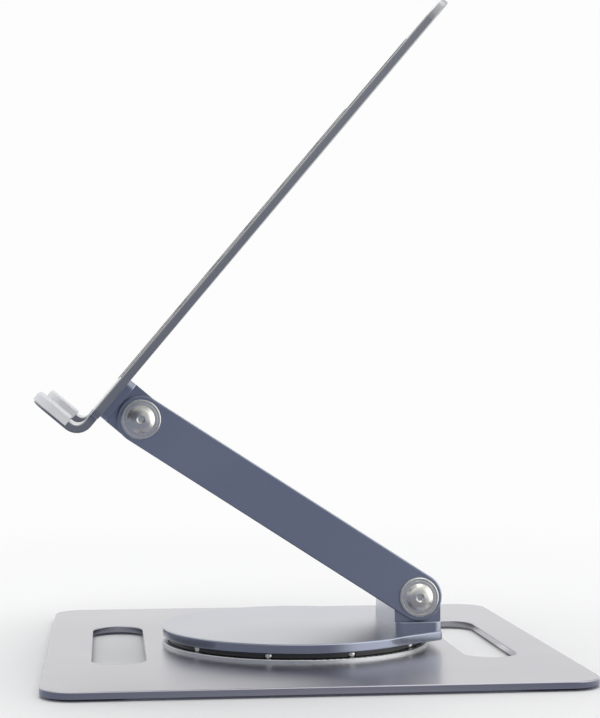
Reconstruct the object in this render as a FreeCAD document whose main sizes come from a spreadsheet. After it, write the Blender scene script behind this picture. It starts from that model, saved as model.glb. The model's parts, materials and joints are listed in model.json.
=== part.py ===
# Folding laptop stand: a base plate with a ball-bearing turntable, a folded channel arm with a friction
# hinge at each end, and a vented tray with two front lips.
# Origin on the turntable's axis at desk level. +Z is up, +X to the rear, +Y to the user's left.
# Lengths are in millimetres and angles in degrees.

import FreeCAD, Part
import math
import os
import re

import Sketcher
from FreeCAD import Placement, Rotation, Vector

SIZES = {
    # Feet and base plate
    "foot_thickness": 1.2,
    "foot_size": 38,
    "foot_inset": 3,
    "foot_edge_round": 0.4,
    "base_length": 240,
    "base_width": 246,
    "base_thickness": 3,
    "base_corner_radius": 15,
    "base_edge_round": 0.6,
    "grip_offset": 86.4,
    "grip_width": 25,
    "grip_length": 116,
    # Turntable disc and its ball bearing
    "disc_radius": 65,
    "disc_thickness": 4.3,
    "disc_edge_round": 0.6,
    "tab_margin": 0.3,
    "tab_corner_radius": 4,
    "tab_root_angle": 58,
    "tab_root_bite": 1.3,
    "tab_root_radius": 30,
    "race_thickness": 1.5,
    "race_width": 14,
    "race_edge_round": 0.4,
    "bearing_gap": 2.6,
    "ball_radius": 2,
    "ball_inset": 4,
    "ball_clearance": 0.1,
    "ball_count": 10,
    "cage_clearance": 0.3,
    "cage_rim": 1.3,
    "cage_land": 4,
    "pocket_clearance": 0.25,
    "race_screw_radius": 1.25,
    "race_screw_head_radius": 2.4,
    "race_screw_inset": 3.5,
    "race_screw_count": 6,
    "race_screw_recess": 0.2,
    # Centre pivot
    "pivot_radius": 5,
    "pivot_thread_radius": 3,
    "pivot_thread_length": 6,
    "pivot_head_radius": 10,
    "pivot_head_thickness": 1.4,
    "pivot_head_sink": 0.1,
    "pivot_recess_clearance": 0.5,
    "pivot_socket": 5,
    "pivot_socket_depth": 2,
    "bush_wall": 2,
    "bush_flange_width": 4,
    "bush_flange_thickness": 0.8,
    "thrust_clearance": 0.1,
    "hub_radius": 12,
    # Hinge seats, the same part at both ends of the arm
    "hinge_inset": 9.4,
    "seat_length": 22.2,
    "seat_thickness": 4.4,
    "seat_overhang": 0.5,
    "seat_corner_radius": 3.5,
    "seat_edge_round": 0.5,
    "seat_wall": 1.5,
    "seat_wall_rise": 7.5,
    "ear_thickness": 4.5,
    "seat_screw_radius": 2,
    "seat_screw_head_radius": 3.8,
    "seat_screw_spacing": 11,
    "seat_screw_span": 22,
    "seat_screw_bite": 2.8,
    # Arm
    "arm_length": 156.9,
    "arm_depth": 22.5,
    "arm_width": 62.2,
    "arm_sheet": 3,
    "arm_bend_radius": 1.5,
    "arm_edge_round": 0.7,
    "arm_clearance": 0.55,
    "web_clearance": 3.2,
    "arm_angle": 32.75,
    # Hinge hardware
    "running_clearance": 0.05,
    "fixed_clearance": 0.05,
    "axial_clearance": 0.1,
    "side_washer_thickness": 0.5,
    "side_washer_radius": 8.5,
    "hinge_screw_radius": 3,
    "cap_radius": 9.4,
    "cap_thickness": 1.5,
    "cap_rim_round": 0.6,
    "dome_radius": 6.5,
    "dome_height": 2.2,
    "dome_round": 1.5,
    "dimple_radius": 1.7,
    "dimple_depth": 0.6,
    "spring_radius": 7,
    "spring_thickness": 0.7,
    "spring_dish": 0.5,
    "nut_flats": 10,
    "nut_thickness": 4,
    "nut_collar_radius": 4.4,
    "nut_collar_height": 1.2,
    "screw_tip": 0.8,
    # Tray
    "tray_angle": 50.1,
    "tray_length": 234,
    "tray_width": 240,
    "tray_thickness": 3.7,
    "tray_nose": 0.2,
    "tray_front_corner": 3,
    "tray_rear_corner": 14,
    "tray_edge_round": 0.7,
    "lip_inset": 42,
    "lip_width": 40,
    "lip_reach": 12,
    "lip_height": 22,
    "lip_bend_radius": 4,
    "lip_corner_radius": 8,
    "lip_root_radius": 3,
    "vent_count": 5,
    "vent_width": 12,
    "vent_length": 124,
    "vent_pitch": 27,
    "vent_start": 58,
    "vent_edge_round": 0.6,
    # Silicone pads on the tray
    "strip_inset": 28,
    "strip_width": 13,
    "strip_margin": 20,
    "strip_thickness": 1,
    "strip_proud": 0.3,
    "lip_pad_thickness": 1.2,
    "lip_pad_wall": 0.8,
    "lip_pad_grip": 2.6,
    "lip_pad_gap": 1,
    "lip_pad_edge_round": 0.5,
}

DERIVED = {
    "base_top": "foot_thickness + base_thickness",
    "race_top": "base_top + race_thickness",
    "disc_bottom": "race_top + bearing_gap",
    "disc_top": "disc_bottom + disc_thickness",
    "ball_circle": "disc_radius - ball_inset",
    "ball_height": "race_top + bearing_gap / 2",
    "track_radius": "ball_radius + ball_clearance",
    "race_inner_radius": "disc_radius - race_width",
    "race_screw_circle": "race_inner_radius + race_screw_inset",
    "race_screw_hole": "race_screw_radius + fixed_clearance",
    "race_screw_flare": "race_screw_head_radius - race_screw_radius",
    "grip_reach": "(grip_length - grip_width) / 2",
    "bush_bore": "pivot_radius + running_clearance",
    "bush_radius": "bush_bore + bush_wall",
    "recess_depth": "pivot_head_sink + pivot_head_thickness + thrust_clearance",
    "hub_bottom": "base_top + bush_flange_thickness + thrust_clearance",
    "hinge_height": "arm_depth / 2 + arm_clearance + seat_thickness",
    "hinge_x": "disc_radius - hinge_inset",
    "hinge_z": "disc_top + hinge_height",
    "tab_end": "hinge_x + seat_length / 2 + tab_margin",
    "tab_root_reach": "disc_radius - tab_root_bite",
    "upper_x": "hinge_x - arm_length * cos(arm_angle)",
    "upper_z": "hinge_z + arm_length * sin(arm_angle)",
    "seat_width": "arm_width + 2 * seat_overhang",
    "seat_screw_hole": "seat_screw_radius + fixed_clearance",
    "seat_screw_flare": "seat_screw_head_radius - seat_screw_radius",
    "ear_radius": "seat_length / 2",
    "flange_inner": "arm_width / 2 - arm_sheet",
    "ear_outer": "flange_inner - side_washer_thickness - axial_clearance",
    "ear_inner": "ear_outer - ear_thickness",
    "web_setback": "ear_radius + web_clearance",
    "hinge_bore": "hinge_screw_radius + running_clearance",
    "spring_height": "spring_thickness + spring_dish",
    "spring_top": "ear_inner - axial_clearance",
    "spring_middle": "spring_top - spring_height",
    "nut_top": "spring_middle - fixed_clearance - spring_height - fixed_clearance",
    "nut_bottom": "nut_top - nut_thickness - nut_collar_height",
    "tray_front": "seat_length / 2 + tray_nose",
    "tray_top": "hinge_height + tray_thickness",
    "lip_face": "tray_front + lip_reach",
    "lip_offset": "tray_width / 2 - lip_inset",
    "lip_inner": "lip_offset - lip_width / 2",
    "lip_outer": "lip_offset + lip_width / 2",
    "lip_pad_foot": "tray_top + lip_bend_radius + lip_pad_gap",
    "lip_pad_height": "tray_top + lip_height - lip_pad_foot",
    "strip_offset": "tray_width / 2 - strip_inset",
    "strip_middle": "tray_length / 2 - tray_front",
    "strip_reach": "tray_length / 2 - strip_margin - strip_width / 2",
    "strip_recess": "strip_thickness - strip_proud",
}

SHEET = "Sizes"
TINY = 1e-6

doc = FreeCAD.newDocument("laptop_stand")
sheet = doc.addObject("Spreadsheet::Sheet", SHEET)
for row, (name, content) in enumerate({**SIZES, **DERIVED}.items(), 1):
    text = str(content) if name in SIZES else "=" + content
    sheet.set("A%d" % row, name)
    sheet.set("B%d" % row, text)
    sheet.setAlias("B%d" % row, name)
doc.recompute()

sub_parts = []


def value(formula):
    """Work out a formula with the sheet's present sizes."""
    return float(sheet.evalExpression(formula))


def bind(item, path, formula):
    """Tie a property of an object to a formula in the sheet's names."""
    def full_name(word):
        known = word.group() in SIZES or word.group() in DERIVED
        return SHEET + "." + word.group() if known else word.group()
    item.setExpression(path, re.sub(r"[a-z_]+", full_name, formula))


def put(item, x="0", y="0", z="0", axis=Vector(0, 1, 0), turn="0"):
    """Place a sub-part by a bound position and a bound turn about one axis."""
    item.Placement = Placement(Vector(), Rotation(axis, 90))
    bind(item, "Placement.Base.x", x)
    bind(item, "Placement.Base.y", y)
    bind(item, "Placement.Base.z", z)
    bind(item, "Placement.Rotation.Angle", turn)
    return item


def new_body(label):
    return doc.addObject("PartDesign::Body", label)


def keep(item):
    """Count an object among the sub-parts that are written out under their labels."""
    sub_parts.append(item)
    return item


def origin_part(body, role):
    """Find a body's own reference plane or axis."""
    return next(part for part in body.Origin.OriginFeatures if part.Role == role)


def new_sketch(body, name, plane, height="0"):
    """Open a sketch on one of the body's planes, raised along the plane's normal."""
    sketch = body.newObject("Sketcher::SketchObject", name)
    sketch.AttachmentSupport = [(origin_part(body, plane), "")]
    sketch.MapMode = "FlatFace"
    bind(sketch, "AttachmentOffset.Base.z", height)
    return sketch


def dimension(sketch, kind, *where_and_size):
    """Add a driving dimension whose last argument is a formula."""
    *where, formula = where_and_size
    number = sketch.addConstraint(Sketcher.Constraint(kind, *where, value(formula)))
    bind(sketch, "Constraints[%d]" % number, formula)


def hold_point(sketch, line, point, x, y):
    """Hold a point of a sketch at coordinates given as formulas."""
    for kind, axis, formula in (("DistanceX", -2, x), ("DistanceY", -1, y)):
        size = value(formula)
        if abs(size) < TINY:
            sketch.addConstraint(Sketcher.Constraint("PointOnObject", line, point, axis))
        elif size > 0:
            dimension(sketch, kind, -1, 1, line, point, formula)
        else:
            dimension(sketch, kind, line, point, -1, 1, "-(%s)" % formula)


def polygon(sketch, corners):
    """Draw a closed outline of straight lines through corners given as pairs of formulas."""
    points = [Vector(value(x), value(y), 0) for x, y in corners]
    lines = [sketch.addGeometry(Part.LineSegment(start, end))
             for start, end in zip(points, points[1:] + points[:1])]
    for line, follower in zip(lines, lines[1:] + lines[:1]):
        sketch.addConstraint(Sketcher.Constraint("Coincident", line, 2, follower, 1))
    for line, (x, y) in zip(lines, corners):
        hold_point(sketch, line, 1, x, y)


def rectangle(sketch, left, right, bottom, top):
    polygon(sketch, [(left, bottom), (right, bottom), (right, top), (left, top)])


def centred_rectangle(sketch, width, height):
    rectangle(sketch, "-%s / 2" % width, "%s / 2" % width, "-%s / 2" % height, "%s / 2" % height)


def circle(sketch, x, y, radius):
    ring = Part.Circle(Vector(value(x), value(y), 0), Vector(0, 0, 1), value(radius))
    line = sketch.addGeometry(ring)
    hold_point(sketch, line, 3, x, y)
    dimension(sketch, "Radius", line, radius)


def arc(sketch, x, y, radius, start, sweep):
    """Draw an arc anticlockwise from an angle in radians, with its centre and radius held."""
    ring = Part.Circle(Vector(value(x), value(y), 0), Vector(0, 0, 1), value(radius))
    line = sketch.addGeometry(Part.ArcOfCircle(ring, start, start + sweep))
    hold_point(sketch, line, 3, x, y)
    return line


def join_tangent(sketch, lines):
    """Make each line run smoothly into the next."""
    for line, follower in zip(lines, lines[1:]):
        sketch.addConstraint(Sketcher.Constraint("Tangent", line, 2, follower, 1))


def obround(sketch, start, end, width):
    """Draw a round-ended slot between two end centres given as pairs of formulas."""
    first = Vector(value(start[0]), value(start[1]), 0)
    last = Vector(value(end[0]), value(end[1]), 0)
    radius = "%s / 2" % width
    heading = math.atan2(last.y - first.y, last.x - first.x)
    side = Vector(-math.sin(heading), math.cos(heading), 0) * value(radius)
    first_arc = arc(sketch, *start, radius, heading + math.pi / 2, math.pi)
    right = sketch.addGeometry(Part.LineSegment(first - side, last - side))
    last_arc = arc(sketch, *end, radius, heading - math.pi / 2, math.pi)
    left = sketch.addGeometry(Part.LineSegment(last + side, first + side))
    join_tangent(sketch, [first_arc, right, last_arc, left, first_arc])
    dimension(sketch, "Radius", first_arc, radius)
    sketch.addConstraint(Sketcher.Constraint("Equal", first_arc, last_arc))


def round_topped(sketch, radius, foot):
    """Draw an upright plate outline with a full round top about the origin and a flat foot."""
    reach = value(radius)
    low = value(foot)
    crown = arc(sketch, "0", "0", radius, 0, math.pi)
    left = sketch.addGeometry(Part.LineSegment(Vector(-reach, 0, 0), Vector(-reach, low, 0)))
    sill = sketch.addGeometry(Part.LineSegment(Vector(-reach, low, 0), Vector(reach, low, 0)))
    right = sketch.addGeometry(Part.LineSegment(Vector(reach, low, 0), Vector(reach, 0, 0)))
    join_tangent(sketch, [right, crown, left])
    dimension(sketch, "Radius", crown, radius)
    sketch.addConstraint(Sketcher.Constraint("Coincident", left, 2, sill, 1))
    sketch.addConstraint(Sketcher.Constraint("Coincident", sill, 2, right, 1))
    hold_point(sketch, sill, 1, "-" + radius, foot)
    sketch.addConstraint(Sketcher.Constraint("Horizontal", sill))
    sketch.addConstraint(Sketcher.Constraint("Vertical", right))


def hexagon(sketch, flats):
    corner = flats + " / sqrt(3)"
    polygon(sketch, [("%s * cos(%d)" % (corner, turn), "%s * sin(%d)" % (corner, turn))
                     for turn in range(0, 360, 60)])


def pad(body, sketch, length, both_ways=False):
    feature = body.newObject("PartDesign::Pad", sketch.Name + "_pad")
    feature.Profile = sketch
    bind(feature, "Length", length)
    if both_ways:
        feature.SideType = "Symmetric"
    return feature


def pocket(body, sketch, depth=None, both_ways=False, forward=False):
    """Cut a sketch through the body, or to a depth, and make sure that it removes material."""
    doc.recompute()
    before = body.Shape.Volume
    feature = body.newObject("PartDesign::Pocket", sketch.Name + "_cut")
    feature.Profile = sketch
    if depth is None:
        feature.Type = "ThroughAll"
        feature.SideType = "Symmetric"
    else:
        bind(feature, "Length", depth)
        feature.Reversed = forward
        if both_ways:
            feature.SideType = "Symmetric"
    doc.recompute()
    if body.Shape.Volume > before - TINY:
        raise ValueError(body.Label + ": " + feature.Name + " removes nothing")
    return feature


def turned(body, sketch, kind="Revolution"):
    """Turn a sketch once round the body's upright axis, as a solid or as a groove."""
    feature = body.newObject("PartDesign::" + kind, sketch.Name + "_turned")
    feature.Profile = sketch
    feature.ReferenceAxis = (origin_part(body, "Z_Axis"), [""])
    feature.Angle = 360
    return feature


def dress(body, kind, name, size, chosen):
    """Round (Fillet) or bevel (Chamfer) the edges of the body that pass a test."""
    doc.recompute()
    base = body.Tip
    names = ["Edge%d" % number for number, edge in enumerate(base.Shape.Edges, 1) if chosen(edge)]
    feature = body.newObject("PartDesign::" + kind, name)
    feature.Base = (base, names)
    bind(feature, "Radius" if kind == "Fillet" else "Size", size)
    return feature


def upright(edge):
    return edge.BoundBox.XLength < TINY and edge.BoundBox.YLength < TINY


def meets_rim(edge):
    """Tell whether an upright edge is where the tab's side runs into the disc's rim."""
    centre = edge.BoundBox.Center
    return upright(edge) and abs(math.hypot(centre.x, centre.y) - value("disc_radius")) < TINY


def at_height(formula):
    """Make a test for edges that lie in one level plane."""
    height = value(formula)
    return lambda edge: abs(edge.BoundBox.ZMin - height) < TINY and abs(edge.BoundBox.ZMax - height) < TINY


def is_ring(edge, radius):
    return isinstance(edge.Curve, Part.Circle) and abs(edge.Curve.Radius - value(radius)) < TINY


def ring_at(radius, height):
    """Make a test for round edges of one radius in one level plane."""
    level = at_height(height)
    return lambda edge: level(edge) and is_ring(edge, radius)


def around(radius, count, start=0):
    """Give the positions, as formulas, of a count of things spread evenly on a circle."""
    turns = [start + 360 / count * number for number in range(count)]
    return [("%s * cos(%.6f)" % (radius, turn), "%s * sin(%.6f)" % (radius, turn)) for turn in turns]


def group(label, items):
    """Gather separate identical solids into one sub-part."""
    compound = doc.addObject("Part::Compound", label)
    compound.Links = items
    return keep(compound)


def flat_screw(name, radius, head_radius, flare, length):
    """Countersunk screw with its flat head at the origin and its shank downwards."""
    body = new_body(name)
    half = new_sketch(body, name + "_half", "XZ_Plane")
    polygon(half, [("0", "0"), (head_radius, "0"), (radius, "-" + flare), (radius, "-(%s)" % length),
                   ("0", "-(%s)" % length)])
    turned(body, half)
    return body


def ring_body(label, inner, outer, thickness):
    """Flat ring lying on its body's base plane."""
    body = new_body(label)
    rings = new_sketch(body, label + "_rings", "XY_Plane")
    circle(rings, "0", "0", inner)
    circle(rings, "0", "0", outer)
    pad(body, rings, thickness)
    return body


def make_base_plate():
    """Sheet base with two hand slots, the pivot's recess and the bearing's screw holes."""
    body = new_body("base_plate")
    outline = new_sketch(body, "base_outline", "XY_Plane")
    centred_rectangle(outline, "base_length", "base_width")
    pad(body, outline, "base_thickness")
    dress(body, "Fillet", "base_corners", "base_corner_radius", upright)
    slots = new_sketch(body, "grip_slots", "XY_Plane")
    for centre in ("-grip_offset", "grip_offset"):
        obround(slots, (centre, "-grip_reach"), (centre, "grip_reach"), "grip_width")
    pocket(body, slots)
    smallest = 2 * value("bush_radius + pivot_recess_clearance")
    level = at_height("base_thickness")
    dress(body, "Fillet", "base_edges", "base_edge_round",
          lambda edge: level(edge) and edge.Length > smallest)
    bore = new_sketch(body, "bush_hole", "XY_Plane")
    circle(bore, "0", "0", "bush_radius")
    pocket(body, bore)
    recess = new_sketch(body, "head_recess", "XY_Plane")
    circle(recess, "0", "0", "pivot_head_radius + pivot_recess_clearance")
    pocket(body, recess, "recess_depth", forward=True)
    holes = new_sketch(body, "base_screw_holes", "XY_Plane")
    for x, y in around("race_screw_circle", SIZES["race_screw_count"]):
        circle(holes, x, y, "race_screw_hole")
    pocket(body, holes)
    dress(body, "Chamfer", "base_countersinks", "race_screw_flare", ring_at("race_screw_hole", "0"))
    put(body, z="foot_thickness")
    return keep(body)


def make_feet():
    """Rubber feet under the base's corners, rounded to follow them."""
    for end, toward_x in (("front", "-"), ("rear", "")):
        for side, toward_y in (("right", "-"), ("left", "")):
            ending = "_%s_%s" % (end, side)
            body = new_body("foot" + ending)
            outline = new_sketch(body, "foot_outline" + ending, "XY_Plane")
            centred_rectangle(outline, "foot_size", "foot_size")
            pad(body, outline, "foot_thickness")
            dress(body, "Fillet", "foot_corners" + ending, "base_corner_radius - foot_inset", upright)
            dress(body, "Fillet", "foot_edges" + ending, "foot_edge_round", at_height("0"))
            reach = "%s(%s / 2 - foot_inset - foot_size / 2)"
            put(body, reach % (toward_x, "base_length"), reach % (toward_y, "base_width"))
            keep(body)


def cut_ball_track(body, height):
    """Turn the balls' running groove into a body whose base plane lies at the given height."""
    track = new_sketch(body, body.Name + "_track", "XZ_Plane")
    circle(track, "ball_circle", "ball_height - (%s)" % height, "track_radius")
    turned(body, track, "Groove")


def make_bearing():
    """Lower race with its screws, and the ball cage with its ring of balls."""
    race = ring_body("bearing_race", "race_inner_radius", "disc_radius", "race_thickness")
    cut_ball_track(race, "base_top")
    holes = new_sketch(race, "race_screw_holes", "XY_Plane")
    places = around("race_screw_circle", SIZES["race_screw_count"])
    for x, y in places:
        circle(holes, x, y, "race_screw_hole")
    pocket(race, holes)
    dress(race, "Fillet", "race_edge", "race_edge_round", ring_at("disc_radius", "race_thickness"))
    keep(put(race, z="base_top"))

    screws = []
    for number, (x, y) in enumerate(places, 1):
        screw = flat_screw("race_screw_%d" % number, "race_screw_radius", "race_screw_head_radius",
                           "race_screw_flare", "base_thickness + race_thickness - race_screw_recess")
        screws.append(put(screw, x, y, "foot_thickness", Vector(1, 0, 0), "180"))
    group("race_screws", screws)

    cage = ring_body("ball_cage", "ball_circle - cage_land", "ball_circle + cage_rim",
                     "bearing_gap - 2 * cage_clearance")
    pockets = new_sketch(cage, "ball_pocket", "XY_Plane")
    circle(pockets, "ball_circle", "0", "ball_radius + pocket_clearance")
    first = pocket(cage, pockets)
    spread = cage.newObject("PartDesign::PolarPattern", "ball_pockets")
    spread.Originals = [first]
    spread.Axis = (origin_part(cage, "Z_Axis"), [""])
    spread.Angle = 360
    bind(spread, "Occurrences", "ball_count")
    cage.Tip = spread
    keep(put(cage, z="race_top + cage_clearance"))

    balls = []
    for number, (x, y) in enumerate(around("ball_circle", SIZES["ball_count"]), 1):
        ball = doc.addObject("Part::Sphere", "ball_%d" % number)
        bind(ball, "Radius", "ball_radius")
        balls.append(put(ball, x, y, "ball_height"))
    group("bearing_balls", balls)


def seat_screw_places():
    return [(x + "seat_screw_spacing / 2", y + "seat_screw_span / 2") for x in ("-", "") for y in ("-", "")]


def cut_seat_threads(body, x, face, forward):
    """Drill the blind holes that take the hinge seat's four screws."""
    holes = new_sketch(body, body.Name + "_threads", "XY_Plane", face)
    for along, across in seat_screw_places():
        circle(holes, "%s + %s" % (x, along), across, "seat_screw_hole")
    pocket(body, holes, "seat_screw_bite + fixed_clearance", forward=forward)


def make_turntable():
    """Turning disc that runs out to a tab under the hinge, with a hub below and the upper ball track."""
    body = new_body("turntable_disc")
    tab = new_sketch(body, "disc_tab", "XY_Plane")
    root_x = "tab_root_reach * cos(tab_root_angle)"
    root_y = "tab_root_reach * sin(tab_root_angle)"
    polygon(tab, [(root_x, "-" + root_y), ("tab_end", "-seat_width / 2"), ("tab_end", "seat_width / 2"),
                  (root_x, root_y)])
    pad(body, tab, "disc_thickness")
    rear = value("tab_end")
    dress(body, "Fillet", "tab_corners", "tab_corner_radius",
          lambda edge: upright(edge) and abs(edge.BoundBox.XMin - rear) < TINY)
    rim = new_sketch(body, "disc_rim", "XY_Plane")
    circle(rim, "0", "0", "disc_radius")
    pad(body, rim, "disc_thickness")
    dress(body, "Fillet", "tab_roots", "tab_root_radius", meets_rim)
    level = at_height("disc_thickness")
    floor = at_height("0")
    dress(body, "Fillet", "disc_edges", "disc_edge_round", lambda edge: level(edge) or floor(edge))
    hub = new_sketch(body, "hub", "XY_Plane", "hub_bottom - disc_bottom")
    circle(hub, "0", "0", "hub_radius")
    pad(body, hub, "disc_bottom - hub_bottom")
    thread = new_sketch(body, "pivot_thread", "XY_Plane", "hub_bottom - disc_bottom")
    circle(thread, "0", "0", "pivot_thread_radius + fixed_clearance")
    pocket(body, thread, "pivot_thread_length + fixed_clearance", forward=True)
    cut_ball_track(body, "disc_bottom")
    cut_seat_threads(body, "hinge_x", "disc_thickness", forward=False)
    put(body, z="disc_bottom")
    return keep(body)


def make_pivot():
    """Flanged bush in the base, and the shoulder bolt that turns in it with the disc."""
    bush = new_body("pivot_bush")
    wall = new_sketch(bush, "bush_half", "XZ_Plane")
    sleeve = "recess_depth - base_thickness"
    flange = "bush_radius + bush_flange_width"
    polygon(wall, [("bush_bore", sleeve), ("bush_radius", sleeve), ("bush_radius", "0"), (flange, "0"),
                   (flange, "bush_flange_thickness"), ("bush_bore", "bush_flange_thickness")])
    turned(bush, wall)
    keep(put(bush, z="base_top"))

    bolt = new_body("pivot_bolt")
    half = new_sketch(bolt, "bolt_half", "XZ_Plane")
    head = "pivot_head_thickness"
    shoulder = "hub_bottom - foot_thickness - pivot_head_sink"
    tip = shoulder + " + pivot_thread_length"
    polygon(half, [("0", "0"), ("pivot_head_radius", "0"), ("pivot_head_radius", head),
                   ("pivot_radius", head), ("pivot_radius", shoulder),
                   ("pivot_thread_radius", shoulder), ("pivot_thread_radius", tip), ("0", tip)])
    turned(bolt, half)
    socket = new_sketch(bolt, "bolt_socket", "XY_Plane")
    hexagon(socket, "pivot_socket")
    pocket(bolt, socket, "pivot_socket_depth", forward=True)
    keep(put(bolt, z="foot_thickness + pivot_head_sink"))


def make_hinge_seat(end, x, z, turn):
    """Foot block with two round-topped ears and a low wall; the hinge axis is the body's own Y axis."""
    body = new_body(end + "_hinge_seat")
    block = new_sketch(body, end + "_seat_block", "XY_Plane", "-hinge_height")
    centred_rectangle(block, "seat_length", "seat_width")
    pad(body, block, "seat_thickness")
    dress(body, "Fillet", end + "_seat_corners", "seat_corner_radius", upright)
    ears = new_sketch(body, end + "_seat_ears", "XZ_Plane")
    round_topped(ears, "ear_radius", "seat_thickness / 2 - hinge_height")
    pad(body, ears, "2 * ear_outer", both_ways=True)
    gap = new_sketch(body, end + "_ear_gap", "XZ_Plane")
    beside = "2 * ear_radius"
    floor = "seat_thickness - hinge_height"
    wall_face = "seat_wall - ear_radius"
    wall_top = "seat_wall_rise + " + floor
    polygon(gap, [(wall_face, floor), (beside, floor), (beside, beside), ("-" + beside, beside),
                  ("-" + beside, wall_top), (wall_face, wall_top)])
    pocket(body, gap, "2 * ear_inner", both_ways=True)
    bore = new_sketch(body, end + "_ear_bore", "XZ_Plane")
    circle(bore, "0", "0", "hinge_bore")
    pocket(body, bore)
    holes = new_sketch(body, end + "_seat_holes", "XY_Plane")
    for along, across in seat_screw_places():
        circle(holes, along, across, "seat_screw_hole")
    pocket(body, holes)
    dress(body, "Chamfer", end + "_seat_countersinks", "seat_screw_flare", ring_at("seat_screw_hole", floor))
    level = at_height(floor)
    beyond = value("ear_outer")
    dress(body, "Fillet", end + "_seat_edges", "seat_edge_round",
          lambda edge: level(edge) and abs(edge.CenterOfMass.y) > beyond + TINY)
    keep(put(body, x, z=z, turn=turn))


def make_seat_screws(end, x, z, turn):
    """Four countersunk screws that hold a hinge seat to what carries it."""
    screws = []
    for number, (along, across) in enumerate(seat_screw_places(), 1):
        screw = flat_screw("%s_seat_screw_%d" % (end, number), "seat_screw_radius", "seat_screw_head_radius",
                           "seat_screw_flare", "seat_thickness + seat_screw_bite")
        down = "(hinge_height - seat_thickness)"
        screws.append(put(screw, "%s + (%s) * cos(%s) - %s * sin(%s)" % (x, along, turn, down, turn), across,
                          "%s - (%s) * sin(%s) - %s * cos(%s)" % (z, along, turn, down, turn), turn=turn))
    group(end + "_seat_screws", screws)


def make_arm():
    """Folded channel: two round-ended flanges and a web on top that stops short of both hinges."""
    body = new_body("arm_channel")
    side = new_sketch(body, "arm_side", "XZ_Plane")
    obround(side, ("0", "0"), ("-arm_length", "0"), "arm_depth")
    pad(body, side, "arm_width", both_ways=True)
    half = value("arm_width / 2")
    dress(body, "Fillet", "arm_edges", "arm_edge_round",
          lambda edge: abs(abs(edge.BoundBox.Center.y) - half) < TINY and edge.BoundBox.YLength < TINY)
    hollow = new_sketch(body, "arm_hollow", "XZ_Plane")
    rectangle(hollow, "-arm_length - arm_depth", "arm_depth", "-arm_depth", "arm_depth / 2 - arm_sheet")
    pocket(body, hollow, "2 * flange_inner", both_ways=True)
    ceiling = value("arm_depth / 2 - arm_sheet")
    dress(body, "Fillet", "arm_bends", "arm_bend_radius",
          lambda edge: (abs(edge.BoundBox.ZMin - ceiling) < TINY and abs(edge.BoundBox.ZMax - ceiling) < TINY
                        and edge.BoundBox.XLength > half))
    ends = new_sketch(body, "web_ends", "XZ_Plane")
    rectangle(ends, "-web_setback", "arm_depth", "-arm_depth", "arm_depth")
    rectangle(ends, "-arm_length - arm_depth", "web_setback - arm_length", "-arm_depth", "arm_depth")
    pocket(body, ends, "2 * flange_inner", both_ways=True)
    bores = new_sketch(body, "arm_bores", "XZ_Plane")
    circle(bores, "0", "0", "hinge_screw_radius + fixed_clearance")
    circle(bores, "-arm_length", "0", "hinge_screw_radius + fixed_clearance")
    pocket(body, bores)
    keep(put(body, "hinge_x", z="hinge_z", turn="arm_angle"))


def make_hinge_screw(name):
    """Domed cap screw; heights along its axis are distances from the stand's middle plane."""
    body = new_body(name)
    half = new_sketch(body, name + "_half", "XZ_Plane")
    tip = "nut_bottom - screw_tip"
    face = "arm_width / 2"
    rim = face + " + cap_thickness"
    crown = rim + " + dome_height"
    polygon(half, [("0", tip), ("hinge_screw_radius", tip), ("hinge_screw_radius", face),
                   ("cap_radius", face), ("cap_radius", rim), ("dome_radius", rim), ("dome_radius", crown),
                   ("0", crown)])
    turned(body, half)
    dress(body, "Fillet", name + "_rim", "cap_rim_round", ring_at("cap_radius", rim))
    dress(body, "Fillet", name + "_dome", "dome_round", ring_at("dome_radius", crown))
    dimple = new_sketch(body, name + "_dimple", "XY_Plane", crown)
    circle(dimple, "0", "0", "dimple_radius")
    pocket(body, dimple, "dimple_depth")
    return body


def make_spring_washers(name):
    """Two dished washers face to face, which press the ear against the arm's side."""
    body = new_body(name + "_outer")
    half = new_sketch(body, name + "_outer_half", "XZ_Plane")
    polygon(half, [("hinge_bore", "spring_middle"), ("hinge_bore", "spring_middle + spring_thickness"),
                   ("spring_radius", "spring_top"), ("spring_radius", "spring_top - spring_thickness")])
    turned(body, half)
    mate = new_body(name + "_inner")
    half = new_sketch(mate, name + "_inner_half", "XZ_Plane")
    upper = "spring_middle - fixed_clearance"
    lower = upper + " - spring_height"
    polygon(half, [("hinge_bore", upper), ("hinge_bore", upper + " - spring_thickness"),
                   ("spring_radius", lower), ("spring_radius", lower + " + spring_thickness")])
    turned(mate, half)
    return body, mate


def make_lock_nut(name):
    """Hexagon nut with the round collar of its locking insert."""
    body = new_body(name)
    collar = new_sketch(body, name + "_collar", "XY_Plane", "nut_bottom")
    circle(collar, "0", "0", "nut_collar_radius")
    pad(body, collar, "nut_collar_height")
    flats = new_sketch(body, name + "_flats", "XY_Plane", "nut_bottom + nut_collar_height")
    hexagon(flats, "nut_flats")
    pad(body, flats, "nut_thickness")
    bore = new_sketch(body, name + "_bore", "XY_Plane")
    circle(bore, "0", "0", "hinge_screw_radius + fixed_clearance")
    pocket(body, bore)
    return body


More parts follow.
